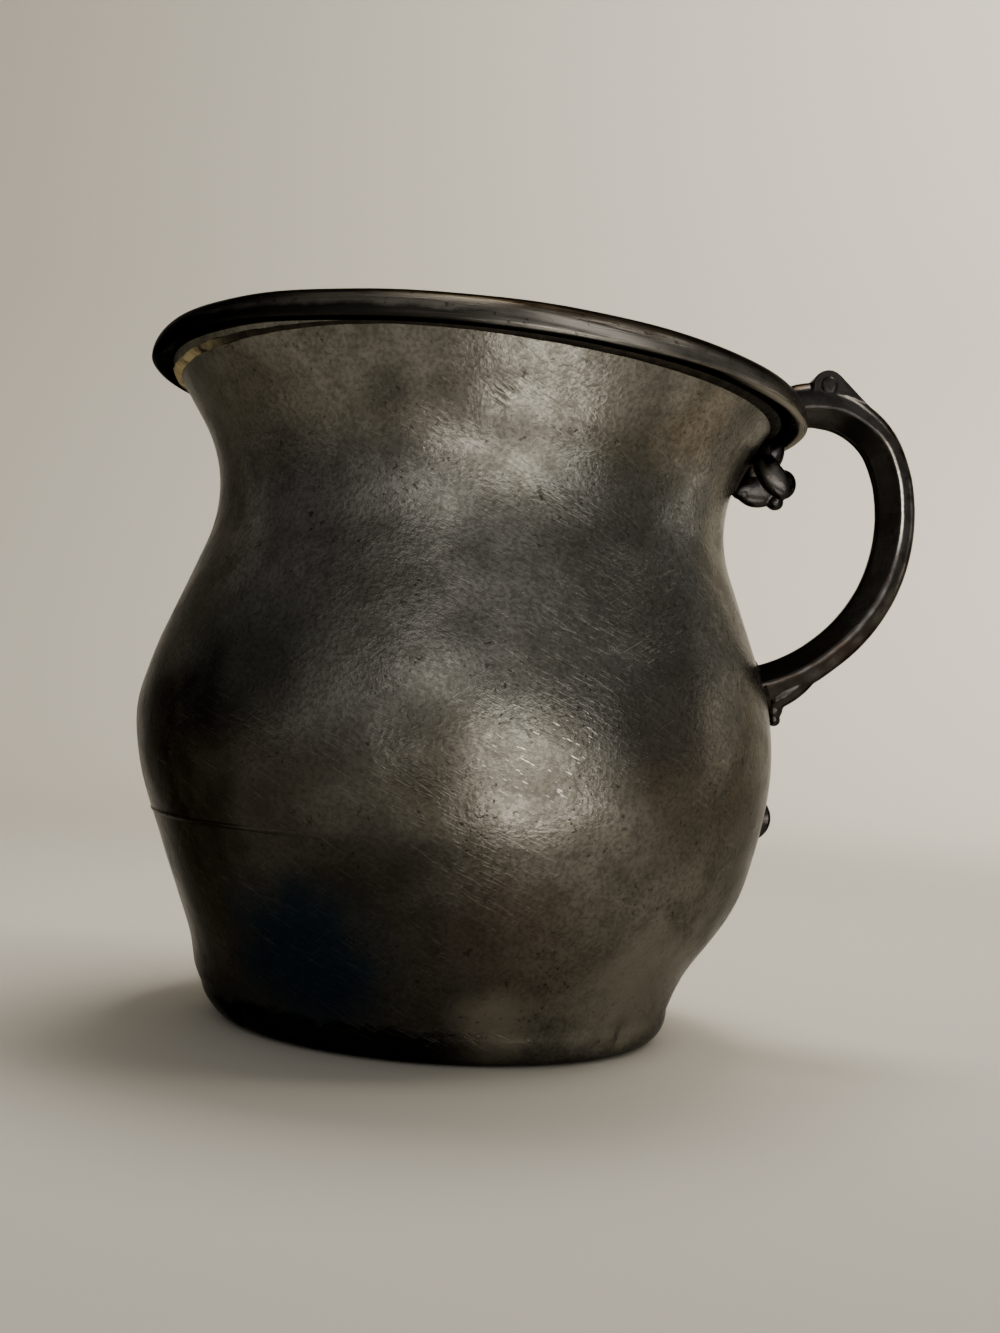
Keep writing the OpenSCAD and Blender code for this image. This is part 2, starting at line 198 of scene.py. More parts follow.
# The direction, where along it the glow starts and is full, and its strength at both ends
GLOWS = [("Y", -0.3, -0.95, 0.06, 0.5), ("Y", 0.2, 0.9, 0.0, 0.7), ("X", -0.9, 0.9, 0.07, 0.3)]
GROUND_TONE = 0.75
room = bpy.data.worlds.new("room")
room.use_nodes = True
bpy.context.scene.world = room
tree = room.node_tree
sky = add(tree, "ShaderNodeTexCoord", {}, {}).outputs["Generated"]
axes = add(tree, "ShaderNodeSeparateXYZ", {}, {"Vector": sky})
glow = 0.0
for axis, start, full, weak, strong in GLOWS:
    side = add(tree, "ShaderNodeMapRange", SMOOTH, {
        "Value": axes.outputs[axis], "From Min": start, "From Max": full,
        "To Min": weak, "To Max": strong})
    glow = add(tree, "ShaderNodeMath", {"operation": "ADD"},
               {0: side.outputs["Result"], 1: glow}).outputs["Value"]
ray = add(tree, "ShaderNodeLightPath", {}, {})
seen = add(tree, "ShaderNodeMix", {}, {0: ray.outputs["Is Camera Ray"], 2: glow, 3: GROUND_TONE})
plug(tree, tree.nodes["Background"], {"Color": linear("#f4efe8"), "Strength": seen.outputs[0]})
print("room nodes:", len(tree.nodes))

# %% [markdown]
# ## Tarnished pewter
# The body is cast and turned pewter that has gone dull: a warm grey metal under a thin brown skin. The
# eye sees soft, wide reflections, cloudy brown and bluish patches, small dark pits, and many fine
# scratches that lean across the belly. A few patterns make all of this. Each gives a mask from 0 to 1,
# and masks are multiplied, so that one can be held within another. Scratches are a noise squeezed hard
# along one slanted direction, so they stay lines on every side of the jug.

# %% Patterns for the finishes
def where(tree, limits, within=1.0):
    """A mask for a place. Each limit fades it in along a value, from where it is 0 to where it is 1."""
    mask = within
    for value, off, on in limits:
        fade = add(tree, "ShaderNodeMapRange", SMOOTH, {"Value": value, "From Min": off, "From Max": on})
        mask = add(tree, "ShaderNodeMath", {"operation": "MULTIPLY"},
                   {0: fade.outputs["Result"], 1: mask}).outputs["Value"]
    return mask


def scratch_lines(tree, coords, turn, width_mm, length_mm, low, high, within=1.0):
    slanted = add(tree, "ShaderNodeMapping", {}, {"Vector": coords, "Rotation": turn})
    along, across = 1 / (length_mm * MM), 1 / (width_mm * MM)
    squeezed = add(tree, "ShaderNodeVectorMath", {"operation": "MULTIPLY"},
                   {0: slanted.outputs["Vector"], 1: (along, along, across)})
    lines = add(tree, "ShaderNodeTexNoise", {},
                {"Vector": squeezed.outputs["Vector"], "Scale": 1.0, "Detail": 1.0})
    return where(tree, [(lines.outputs["Fac"], low, high)], within)


def clouds(tree, coords, size_mm, detail, low, high, within=1.0):
    puffs = add(tree, "ShaderNodeTexNoise", {},
                {"Vector": coords, "Scale": 1 / (size_mm * MM), "Detail": detail, "Roughness": 0.6})
    return where(tree, [(puffs.outputs["Fac"], low, high)], within)


def cloudy_patch(tree, coords, centre_mm, radius_mm):
    """A round patch with a ragged edge: a 9 mm noise pushes its border in and out."""
    puffs = add(tree, "ShaderNodeTexNoise", {}, {"Vector": coords, "Scale": 1 / (9 * MM), "Detail": 4.0})
    apart = add(tree, "ShaderNodeVectorMath", {"operation": "DISTANCE"},
                {0: coords, 1: tuple(c * MM for c in centre_mm)})
    radius = radius_mm * MM
    ragged = add(tree, "ShaderNodeMath", {"operation": "MULTIPLY_ADD"},
                 {0: puffs.outputs["Fac"], 1: 0.9 * radius, 2: apart.outputs["Value"]})
    return where(tree, [(ragged.outputs["Value"], 1.5 * radius, 0.75 * radius)])


def frayed(tree, coords, level, size_mm, reach_mm):
    """A level with a ragged course: clouds pull it down by up to their reach."""
    return add(tree, "ShaderNodeMath", {"operation": "MULTIPLY_ADD"}, {
        0: clouds(tree, coords, size_mm, 4, 0.2, 0.8), 1: -reach_mm * MM, 2: level}).outputs["Value"]


print("a 9 mm noise has a scale of %.1f" % (1 / (9 * MM)))

# %% [markdown]
# A finish is built like varnish: a ground colour, and over it thin coats, each with its mask, its
# strength and its colour. The same masks also raise or sink the surface by a few hundredths of a
# millimetre, so that pits and scratches catch the light.

# %% Coats and relief
def coats(tree, ground, layers):
    for mask, strength, tint in layers:
        share = add(tree, "ShaderNodeMath", {"operation": "MULTIPLY"}, {0: mask, 1: strength})
        ground = add(tree, "ShaderNodeMix", {"data_type": "RGBA"},
                     {0: share.outputs["Value"], 6: ground, 7: linear(tint)}).outputs[2]
    return ground


def patches(tree, coords, table):
    """Coats for a table of patches: centre and radius in mm, strength and colour."""
    return [(cloudy_patch(tree, coords, centre, radius), strength, tint)
            for centre, radius, strength, tint in table]


def relief(tree, depth_mm, strength, heights):
    """Masks are added up, each times its own height, and the sum becomes a bump."""
    total = 0.0
    for mask, height in heights:
        total = add(tree, "ShaderNodeMath", {"operation": "MULTIPLY_ADD"},
                    {0: mask, 1: height, 2: total}).outputs["Value"]
    return add(tree, "ShaderNodeBump", {}, {
        "Height": total, "Strength": strength, "Distance": depth_mm * MM}).outputs["Normal"]


print("two coats can hide %.0f percent of a ground" % (100 * (1 - (1 - 0.8) * (1 - 0.5))))

# %% [markdown]
# Below the seam the body is painted darker as shade, with a ragged edge, and the foot's edge is painted
# black as shade, most of all away from the handle. Scratches are drawn 0.14 mm wide, which is about the
# finest that shows. A gouge lies under the rim, and short pale painted glints, drawn as nicks, lie where
# the belly's and the neck's highlights fall.

# %% Damp and scratches
GOUGED = ((2.6, -37.5, 77.7), 2.4)
# Where the painted glints lie: in the highlights on the belly and on the neck
GLINT_ON_BELLY, GLINT_ON_NECK = ((10, -40, 37), 9), ((-5, -35, 71), 4)


# Painted shade: the body is darkened below the seam and the foot's edge is blackened, both less so
# towards the handle
def painted_low_shade(tree, coords):
    axes = add(tree, "ShaderNodeSeparateXYZ", {}, {"Vector": coords})
    away_from_handle = add(tree, "ShaderNodeMapRange", SMOOTH, {
        "Value": axes.outputs["X"], "From Min": 12 * MM, "From Max": -3 * MM,
        "To Min": 0.05}).outputs["Result"]
    edge = frayed(tree, coords, axes.outputs["Z"], 13, 9)
    black_edge = frayed(tree, coords, axes.outputs["Z"], 5, 2.5)
    return (where(tree, [(edge, 24 * MM, 14 * MM)], away_from_handle),
            where(tree, [(black_edge, 3.6 * MM, 2.2 * MM)], away_from_handle))


def scratches_and_glints(tree, coords):
    fine = scratch_lines(tree, coords, (0, math.radians(-22), 0), 0.14, 2.6, 0.58, 0.74)
    long = scratch_lines(tree, coords, (0.2, math.radians(-31), 0.2), 0.15, 6, 0.66, 0.76)
    cross = scratch_lines(tree, coords, (0.1, math.radians(38), -0.2), 0.14, 3.5, 0.68, 0.77)
    hit = cloudy_patch(tree, coords, *GOUGED)
    gouge = scratch_lines(tree, coords, (0, math.radians(-28), 0), 0.4, 2.5, 0.42, 0.6, hit)
    glint_places = add(tree, "ShaderNodeMath", {"operation": "MAXIMUM"}, {
        0: cloudy_patch(tree, coords, *GLINT_ON_BELLY),
        1: cloudy_patch(tree, coords, *GLINT_ON_NECK)}).outputs["Value"]
    # Painted highlight: short near-white glints drawn as nicks, colour only, with no relief
    painted_glints = scratch_lines(tree, coords, (0, math.radians(-25), 0), 0.24, 1.3, 0.68, 0.75, glint_places)
    return fine, long, cross, gouge, painted_glints


print("a scratch of 0.14 by 2.6 mm is %.0f times as long as wide" % (2.6 / 0.14))

# %% [markdown]
# Lighter patches are painted light and darker ones painted shade round the reflections on belly and
# neck, under the mottling; a blue-black smudge under the rim is a stain. Over it lie a brown stain, two
# pale patches of painted light low on the right, and one blue bloom near the foot.

# %% Body finish
# Lighter patches are painted light, darker ones painted shade; the blue-black one under the rim is a
# stain
LIGHT_SHADE_AND_STAIN_PATCHES = [
    ((-20, -29, 61), 14, 0.5, "#a19e98"),
    ((-5, -35, 74), 9, 0.4, "#a8a59f"),
    ((-33, -24, 31), 27, 0.96, "#15120e"),
    ((-13, -39, 30), 13, 0.55, "#27241f"),
    ((-9, -38.5, 23), 8, 0.5, "#15120e"),
    ((-3, -42, 37), 6, 0.62, "#33312c"),
    ((-8, -41, 45), 5, 0.4, "#33312c"),
    ((11, -33.5, 70), 5, 0.4, "#3c3f42"),
    ((13.5, -40, 40), 4.5, 0.4, "#3a3833"),
    ((9.5, -40, 28), 7, 0.45, "#aaa79f"),
    ((28, -31, 37), 17, 0.72, "#463f32"),
    ((16, -38, 43), 9, 0.45, "#3a3834"),
    ((20, -31, 55), 16, 0.45, "#3c3f42"),
    ((-10.5, -36, 78), 5, 0.35, "#292d31"),
    ((-25, -27, 77), 10, 0.4, "#2f2b22"),
    ((27, -26, 78), 8, 0.4, "#9a8d7e")]
# A brown stain, two pale patches of painted light low on the right, and a blue bloom by the foot
STAINS_AND_PAINTED_LIGHT = [
    ((8, -33, 16), 13, 0.3, "#4a382c"),
    ((6, -31, 5.5), 7, 0.6, "#979184"),
    ((26, -21, 8), 14, 0.6, "#979389"),
    ((-17, -31, 12), 14, 0.85, "#0f293a")]


def body_finish():
    made, tree, shader = new_material("tarnished_pewter_painted_light")
    coords = add(tree, "ShaderNodeTexCoord", {}, {}).outputs["Object"]
    # Brown clouds 22 mm wide, 4.5 mm mottling, a 0.55 mm grain, clusters of 0.6 mm pits, 1.7 mm spots
    brown = clouds(tree, coords, 22, 5, 0.4, 0.62)
    mottle = clouds(tree, coords, 4.5, 6, 0.35, 0.7)
    grain = clouds(tree, coords, 0.55, 3, 0.35, 0.68)
    clusters = clouds(tree, coords, 8, 2, 0.42, 0.62)
    pits = clouds(tree, coords, 0.6, 2, 0.6, 0.72, clusters)
    spots = clouds(tree, coords, 1.7, 3, 0.67, 0.74)
    low_shade, foot_shade = painted_low_shade(tree, coords)
    fine, long, cross, gouge, painted_glints = scratches_and_glints(tree, coords)
    colour = coats(
        tree, linear("#83827b"),
        [(brown, 0.75, "#626057")] + patches(tree, coords, LIGHT_SHADE_AND_STAIN_PATCHES)
        + [(mottle, 0.48, "#3d3a32"), (grain, 0.42, "#2b2924"), (low_shade, 0.72, "#2d2923")]
        + patches(tree, coords, STAINS_AND_PAINTED_LIGHT)
        + [(foot_shade, 0.95, "#0d0b0a"), (pits, 0.75, "#1c1a16"), (spots, 0.6, "#1a1712"),
           (gouge, 0.65, "#181612"), (fine, 0.06, "#96938a"), (long, 0.08, "#a5a298"),
           (cross, 0.08, "#a5a298"), (painted_glints, 0.65, "#efece4")])
    rough = add(tree, "ShaderNodeMapRange", {}, {"Value": mottle, "To Min": 0.2, "To Max": 0.31})
    bump = relief(tree, 0.07, 0.42, [
        (pits, -0.6), (gouge, -0.8), (fine, -0.38), (long, -0.32), (cross, -0.32), (grain, 0.62),
        (mottle, -0.8)])
    # An oxide skin reflects less at a glancing angle than clean metal does, hence the grey tint
    plug(tree, shader, {"Base Color": colour, "Roughness": rough.outputs["Result"], "Metallic": 1.0,
                        "Specular Tint": linear("#adadad"), "Normal": bump})
    return made


body_pewter = body_finish()
print("body finish nodes:", len(body_pewter.node_tree.nodes))

# %% [markdown]
# ## The rim's finish
# The rim is the same pewter, but fingers and cloths went round it, so its streaks run round the axis.
# For that the finish works in the angle round Z, the radius, and the level across the tilted rim. Its
# lower half is near-black, the more so away from the handle. Its top is painted dark as shade, the hollow
# below is painted black as shade, and the lip near the handle carries a pale painted reflection. A
# painted highlight runs along the middle of the face and sinks towards the handle, and to the left of
# it the upper face is paler.

# %% Rim's directions, painted highlight and paler band
RAKE, RIM_R, STREAK_FALL = math.radians(2), 44.7, 0.067


def rim_directions(tree, coords):
    axes = add(tree, "ShaderNodeSeparateXYZ", {}, {"Vector": coords})
    x, y = axes.outputs["X"], axes.outputs["Y"]
    angle = add(tree, "ShaderNodeMath", {"operation": "ARCTAN2"}, {0: x, 1: y})
    flat = add(tree, "ShaderNodeCombineXYZ", {}, {"X": x, "Y": y})
    radius = add(tree, "ShaderNodeVectorMath", {"operation": "LENGTH"}, {0: flat.outputs["Vector"]})
    level = add(tree, "ShaderNodeMath", {"operation": "MULTIPLY_ADD"},
                {0: x, 1: math.tan(RAKE), 2: axes.outputs["Z"]})
    return x, angle.outputs["Value"], radius.outputs["Value"], level.outputs["Value"]


def rim_streaks(tree, angle, radius, level):
    """Streaks about 6 mm long and 0.4 mm wide on a radius of 44 mm."""
    along = add(tree, "ShaderNodeMath", {"operation": "MULTIPLY"}, {0: angle, 1: 44 / 6})
    inwards = add(tree, "ShaderNodeMath", {"operation": "DIVIDE"}, {0: radius, 1: 0.5 * MM})
    across = add(tree, "ShaderNodeMath", {"operation": "DIVIDE"}, {0: level, 1: 0.4 * MM})
    spot = add(tree, "ShaderNodeCombineXYZ", {}, {
        "X": along.outputs["Value"], "Y": inwards.outputs["Value"], "Z": across.outputs["Value"]})
    lines = add(tree, "ShaderNodeTexNoise", {},
                {"Vector": spot.outputs["Vector"], "Scale": 1.0, "Detail": 3.0})
    return where(tree, [(lines.outputs["Fac"], 0.42, 0.68)])


def rim_highlight_and_pale_band(tree, x, level):
    sinking = add(tree, "ShaderNodeMath", {"operation": "MULTIPLY_ADD"},
                  {0: x, 1: STREAK_FALL, 2: level}).outputs["Value"]
    # Painted highlight: a bright streak along the middle of the face
    streak = where(tree, [(sinking, 86.8 * MM, 86.3 * MM), (sinking, 85.4 * MM, 85.9 * MM),
                          (x, 2 * MM, 10 * MM), (x, 23 * MM, 14 * MM)])
    # The upper face left of the streak is made paler
    paler_upper_left = where(tree, [(level, 87.4 * MM, 86.4 * MM), (x, -30 * MM, -16 * MM),
                             (x, 6 * MM, -4 * MM)])
    return streak, paler_upper_left


print("the rim falls %.1f mm from left to right" % (2 * RIM_R * math.sin(RAKE)))

# %% [markdown]
# More of the rim's masks come from which way a face looks. The normal's Z is 1 on the top, 0 on the
# outer face and below 0 in the hollow. The near-black band stays low, and it is weaker towards the
# handle.

# %% Rim finish
def rim_finish():
    made, tree, shader = new_material("rubbed_pewter_painted_light")
    coords = add(tree, "ShaderNodeTexCoord", {}, {}).outputs["Object"]
    x, angle, radius, level = rim_directions(tree, coords)
    streaks = rim_streaks(tree, angle, radius, level)
    streak, paler_upper_left = rim_highlight_and_pale_band(tree, x, level)
    mottle = clouds(tree, coords, 5, 5, 0.35, 0.7)
    pits = clouds(tree, coords, 0.8, 2, 0.62, 0.72)
    normal = add(tree, "ShaderNodeNewGeometry", {}, {}).outputs["Normal"]
    upward = add(tree, "ShaderNodeSeparateXYZ", {}, {"Vector": normal}).outputs["Z"]
    # Painted shade: faces that look upwards are darkened
    top = where(tree, [(upward, 0.2, 0.65)])
    # Painted shade: the downward-facing hollow under the rim is blackened
    hollow = where(tree, [(upward, -0.45, -0.8)])
    # Painted reflection: the lip near the handle is made pale
    lip = where(tree, [(radius, 43.2 * MM, 43.8 * MM), (x, 27 * MM, 40 * MM)], hollow)
    # A near-black band low on the face, weaker towards the handle
    left = add(tree, "ShaderNodeMapRange", SMOOTH, {
        "Value": x, "From Min": 8 * MM, "From Max": -4 * MM, "To Min": 0.2}).outputs["Result"]
    dark_lower_band = where(tree, [(frayed(tree, coords, level, 6, 0.8), 85.7 * MM, 84.8 * MM)], left)
    colour = coats(
        tree, linear("#726f69"),
        [(mottle, 0.7, "#43413c"), (streaks, 0.45, "#94908a"), (top, 0.85, "#1d1a17"),
         (paler_upper_left, 0.36, "#a19d92"), (streak, 0.72, "#e0dcd3")]
        # Painted light: a paler patch at the rim's right end
        + patches(tree, coords, [((41, -14, 85), 9, 0.15, "#98958f")])
        + [(dark_lower_band, 0.92, "#0d0c0b"), (pits, 0.6, "#1a1815"), (hollow, 0.94, "#0a0908"),
           (lip, 0.8, "#c4c0b6")])
    rough = add(tree, "ShaderNodeMapRange", {}, {"Value": streaks, "To Min": 0.38, "To Max": 0.26})
    bump = relief(tree, 0.06, 0.35, [(streaks, 0.6), (pits, -0.7)])
    plug(tree, shader, {"Base Color": colour, "Roughness": rough.outputs["Result"], "Metallic": 1.0,
                        "Specular Tint": linear("#545454"), "Normal": bump})
    return made


rim_pewter = rim_finish()
print("rim finish nodes:", len(rim_pewter.node_tree.nodes))

# %% [markdown]
# ## Castings and solder
# The handle and its bracket are castings, nearly black and glossy from handling. The back of the limb is
# painted grey as light, and a stretch of its ridge carries a painted highlight. How far a face looks away
# from the middle of the handle's loop tells the back from the flanks: 1 is the back, and 0 is the ridge.

# %% Casting finish
LOOP_MIDDLE = (44 * MM, 0, 66 * MM)
HIGHLIGHT_SPOT = (58 * MM, 0, 76 * MM)


def painted_handle_light(tree, coords):
    apart = add(tree, "ShaderNodeVectorMath", {"operation": "SUBTRACT"}, {0: coords, 1: LOOP_MIDDLE})
    in_plane = add(tree, "ShaderNodeVectorMath", {"operation": "MULTIPLY"},
                   {0: apart.outputs["Vector"], 1: (1, 0, 1)})
    outward = add(tree, "ShaderNodeVectorMath", {"operation": "NORMALIZE"},
                  {0: in_plane.outputs["Vector"]})
    normal = add(tree, "ShaderNodeNewGeometry", {}, {}).outputs["Normal"]
    facing = add(tree, "ShaderNodeVectorMath", {"operation": "DOT_PRODUCT"},
                 {0: outward.outputs["Vector"], 1: normal}).outputs["Value"]
    x = add(tree, "ShaderNodeSeparateXYZ", {}, {"Vector": coords}).outputs["X"]
    away = add(tree, "ShaderNodeVectorMath", {"operation": "DISTANCE"},
               {0: coords, 1: HIGHLIGHT_SPOT}).outputs["Value"]
    # Painted light on the limb's back, and a painted highlight along a stretch of its ridge
    return (where(tree, [(facing, 0.1, 0.5), (x, 45 * MM, 50 * MM)]),
            where(tree, [(facing, -0.3, -0.1), (facing, 0.16, 0.0), (away, 10 * MM, 4 * MM)]))


def casting_finish():
    made, tree, shader = new_material("dark_cast_pewter_painted_light")
    coords = add(tree, "ShaderNodeTexCoord", {}, {}).outputs["Object"]
    back, ridge = painted_handle_light(tree, coords)
    mottle = clouds(tree, coords, 3, 5, 0.35, 0.7)
    pits = clouds(tree, coords, 0.7, 2, 0.64, 0.74)
    brown = clouds(tree, coords, 6, 4, 0.52, 0.68)
    lumps = clouds(tree, coords, 1.4, 3, 0.2, 0.8)
    colour = coats(
        tree, linear("#3d3b3a"),
        # The back coat is painted light, the ridge coat a painted highlight
        [(back, 0.32, "#7f7c78")] + patches(tree, coords, [((41, -3, 77.5), 2.6, 0.5, "#74716d")])
        + [(mottle, 0.7, "#232120"), (ridge, 0.9, "#e0dacd"), (brown, 0.45, "#3a3026"),
           (pits, 0.6, "#121110")])
    rough = add(tree, "ShaderNodeMapRange", {}, {"Value": mottle, "To Min": 0.16, "To Max": 0.27})
    bump = relief(tree, 0.07, 0.35, [(lumps, 0.8), (pits, -0.5)])
    plug(tree, shader, {"Base Color": colour, "Roughness": rough.outputs["Result"], "Metallic": 1.0,
                        "Specular Tint": linear("#989898"), "Normal": bump})
    return made


cast_pewter = casting_finish()
print("casting finish nodes:", len(cast_pewter.node_tree.nodes))

# %% [markdown]
# Solder is a duller metal than pewter. It has gone as dark as the jug, apart from a yellow crust under
# the rim, opposite the handle.

# %% Solder finish
def solder_finish():
    made, tree, shader = new_material("dull_tin_solder")
    coords = add(tree, "ShaderNodeTexCoord", {}, {}).outputs["Object"]
    axes = add(tree, "ShaderNodeSeparateXYZ", {}, {"Vector": coords})
    crust = clouds(tree, coords, 1.7, 5, 0.44, 0.6)
    opposite = where(tree, [(axes.outputs["X"], -30 * MM, -38 * MM),
                            (axes.outputs["Z"], 60 * MM, 70 * MM)])
    yellow = clouds(tree, coords, 4, 3, 0.32, 0.56, opposite)
    colour = coats(tree, linear("#25221e"), [(crust, 0.6, "#37322a"), (yellow, 0.85, "#c3b68d")])
    bump = relief(tree, 0.08, 0.4, [(crust, 1.0)])
    plug(tree, shader, {"Base Color": colour, "Roughness": 0.55, "Metallic": 0.85,
                        "Specular Tint": linear("#6a6a6a"), "Normal": bump})
    return made


tin_solder = solder_finish()
print("solder finish nodes:", len(tin_solder.node_tree.nodes))

# %% [markdown]
# ## The body's profile
# Half of a turned jug is a side view, so its shape is one function: the outer radius at each height.
# It is made of a straight flank, the belly's two arcs, a straight shoulder, the waist's arc and a
# straight flare, with the same sizes as the solids. All sizes here are in millimetres.

# %% Profile
FOOT_R, FOOT_EDGE, BELLY_R, BELLY_Z = 30.3, 2.2, 42.7, 37.0
WAIST_R, WAIST_Z, THROAT_R, RIM_Z = 34.5, 68.7, 40.2, 83.2
LOWER_ARC, UPPER_ARC, NECK_ARC, WALL = 28.0, 36.0, 19.0, 1.6


def leaving_angle(dr, dz, r):
    """The lean of a straight line that leaves an arc of radius r and ends dr further in and dz along."""
    return math.atan2(dz, r - dr) - math.acos(min(1, r / math.hypot(r - dr, dz)))


def arc_room(dr, dz):
    """The largest arc that reaches such a point with no straight line after it."""
    return (dr * dr + dz * dz) / (2 * dr)


lower_r = min(LOWER_ARC, arc_room(BELLY_R - FOOT_R, BELLY_Z - FOOT_EDGE))
share = min(1, arc_room(BELLY_R - WAIST_R, WAIST_Z - BELLY_Z) / (UPPER_ARC + NECK_ARC))
upper_r = UPPER_ARC * share
neck_r = min(NECK_ARC * share, arc_room(THROAT_R - WAIST_R, RIM_Z - WAIST_Z))
lower_lean = leaving_angle(BELLY_R - FOOT_R, BELLY_Z - FOOT_EDGE, lower_r)
upper_lean = leaving_angle(BELLY_R - WAIST_R, WAIST_Z - BELLY_Z, upper_r + neck_r)
flare_lean = leaving_angle(THROAT_R - WAIST_R, RIM_Z - WAIST_Z, neck_r)
shoulder_end = WAIST_Z - neck_r * math.sin(upper_lean)


def skin_r(z):
    if z < BELLY_Z - lower_r * math.sin(lower_lean):
        return FOOT_R + (z - FOOT_EDGE) * math.tan(lower_lean)
    if z < BELLY_Z:
        return BELLY_R - lower_r + math.sqrt(lower_r ** 2 - (z - BELLY_Z) ** 2)
    if z < BELLY_Z + upper_r * math.sin(upper_lean):
        return BELLY_R - upper_r + math.sqrt(upper_r ** 2 - (z - BELLY_Z) ** 2)
    if z < shoulder_end:
        return WAIST_R + neck_r * (1 - math.cos(upper_lean)) + (shoulder_end - z) * math.tan(upper_lean)
    if z < WAIST_Z + neck_r * math.sin(flare_lean):
        return WAIST_R + neck_r - math.sqrt(neck_r ** 2 - (z - WAIST_Z) ** 2)
    return THROAT_R + (z - RIM_Z) * math.tan(flare_lean)


def inner_r(z):
    slope = skin_r(z + 0.5) - skin_r(z - 0.5)
    return skin_r(z) - WALL * math.sqrt(1 + slope ** 2)


print("radius at", [(z, round(skin_r(z), 2)) for z in (3, 15, 26.5, 37, 50, 68.7, 83)])

# %% [markdown]
# ## Dents
# The jug has been dropped and squeezed. Its lower belly is fuller on the handle side and flatter on
# the other, the left belly has a bend in it, and the edge of the foot is nicked. Each dent is a soft
# bump in angle and height that moves the wall in or out. A slow noise adds the unevenness of hand work,
# which makes reflections wander. The same function moves every piece of the wall, so the pieces still
# meet, and it fades out at the foot's plane, at the rim and, for the noise, at the handle.

# %% Dents
# Angle in degrees from the handle, height, spread in degrees, spread in mm, depth in mm
DENTS = [
    (0, 19, 50, 8, 1.9),
    (180, 40, 16, 4, 0.45),
    (185, 27, 30, 7, -0.5),
    (185, 5.5, 34, 3.5, 1.0),
    (0, 9, 42, 5, -0.7),
    (250, 14, 25, 8, -0.25),
    (292, 52, 18, 9, -0.2),
    (75, 30, 22, 9, -0.35),
    (217, 2.6, 3.5, 1.6, -0.7),
    (226, 2.2, 2.5, 1.2, -0.5),
    (318, 2.8, 2.8, 1.8, -0.7),
    (309, 2.0, 2.2, 1.0, -0.45)]
# How far the slow and the quick noise move the wall, and over what all fades out at foot and rim, in mm
WANDER, RIPPLE, FOOT_FADE, RIM_FADE = 0.22, 0.07, 2.5, 8
# How far from the handle the noise stays away, as a share of the radius
HANDLE_FADE = 0.35


def degrees_from(angle, at):
    return (math.degrees(angle) - at + 180) % 360 - 180


def unevenness(angle, z, circle, height, shift=0):
    """Noise on a circle round the axis: a wider circle gives more bumps round the jug."""
    return noise.noise(Vector((circle * math.cos(angle), circle * math.sin(angle), z / height + shift)))


def dent_depth(angle, z):
    depth = 0.0
    for at, height, wide, tall, deep in DENTS:
        depth += deep * math.exp(-(degrees_from(angle, at) / wide) ** 2 - ((z - height) / tall) ** 2)
    slow, quick = unevenness(angle, z, 1.9, 16), unevenness(angle, z, 5, 7, shift=9)
    near_handle = math.exp(-(math.sin(angle / 2) * 2 / HANDLE_FADE) ** 2)
    free = min(1, max(0, z / FOOT_FADE)) * min(1, max(0, (RIM_Z - z) / RIM_FADE))
    return free * (depth + (1 - near_handle) * (WANDER * slow + RIPPLE * quick))


def widened(v, times):
    v.co.x *= times
    v.co.y *= times


def dented(bm):
    for v in bm.verts:
        r = math.hypot(v.co.x, v.co.y)
        widened(v, 1 + dent_depth(math.atan2(v.co.y, v.co.x), v.co.z / MM) * MM / r)


print("wall moves at the left bend: %.2f mm" % dent_depth(math.pi, 40))

# %% [markdown]
# ## A pen, a lathe and a finished piece
# Turned pieces start as the outline of their wall, drawn like a pen stroke: one vertex is extruded
# from point to point and the stroke is closed. A full spin is the lathe, and use_merge joins its first
# and last step. Then the normals are set, because a spin can leave a shape inside out. A finished piece
# gets its name, its finish, and the solid that it takes the place of.

# %% Pen and lathe
def pen_stroke(points):
    bm = bmesh.new()
    first = tip = bm.verts.new((points[0][0] * MM, 0, points[0][1] * MM))
    for r, z in points[1:]:
        tip = bmesh.ops.extrude_vert_indiv(bm, verts=[tip])["verts"][0]
        tip.co = (r * MM, 0, z * MM)
    bm.edges.new((tip, first))
    return bm


def turned(points, steps=256):
    bm = pen_stroke(points)
    bmesh.ops.spin(bm, geom=bm.verts[:] + bm.edges[:], cent=(0, 0, 0), axis=(0, 0, 1),
                   angle=math.tau, steps=steps, use_merge=True)
    bmesh.ops.remove_doubles(bm, verts=bm.verts[:], dist=1e-7)
    bmesh.ops.recalc_face_normals(bm, faces=bm.faces[:])
    return bm


def arc(centre, radius, first, last, steps):
    angles = [math.radians(first + (last - first) * i / steps) for i in range(steps + 1)]
    return [(centre[0] + radius * math.cos(a), centre[1] + radius * math.sin(a)) for a in angles]


def levels(first, last, step):
    count = max(1, round(abs(last - first) / step))
    return [first + (last - first) * i / count for i in range(count + 1)]


def piece(bm, name, material, node, sharp=40):
    mesh = bpy.data.meshes.new(name)
    bm.to_mesh(mesh)
    bm.free()
    mesh.polygons.foreach_set("use_smooth", [True] * len(mesh.polygons))
    mesh.set_sharp_from_angle(angle=math.radians(sharp))
    mesh.materials.append(material)
    made = bpy.data.objects.new(name, mesh)
    bpy.context.scene.collection.objects.link(made)
    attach(made, "root")
    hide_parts(node)
    print(name, "faces:", len(mesh.polygons))
    return made


print("levels from 0 to 2 by 0.8 mm:", [round(z, 2) for z in levels(0, 2, 0.8)])

# %% [markdown]
# ## The two shells
# The lower shell runs from the foot to the seam. The foot's rounded edge is a quarter of an ellipse,
# which keeps the light soft there. A groove stays open at the seam for its solder, and a hair's gap
# under the groove keeps the two shells from sharing a plane.

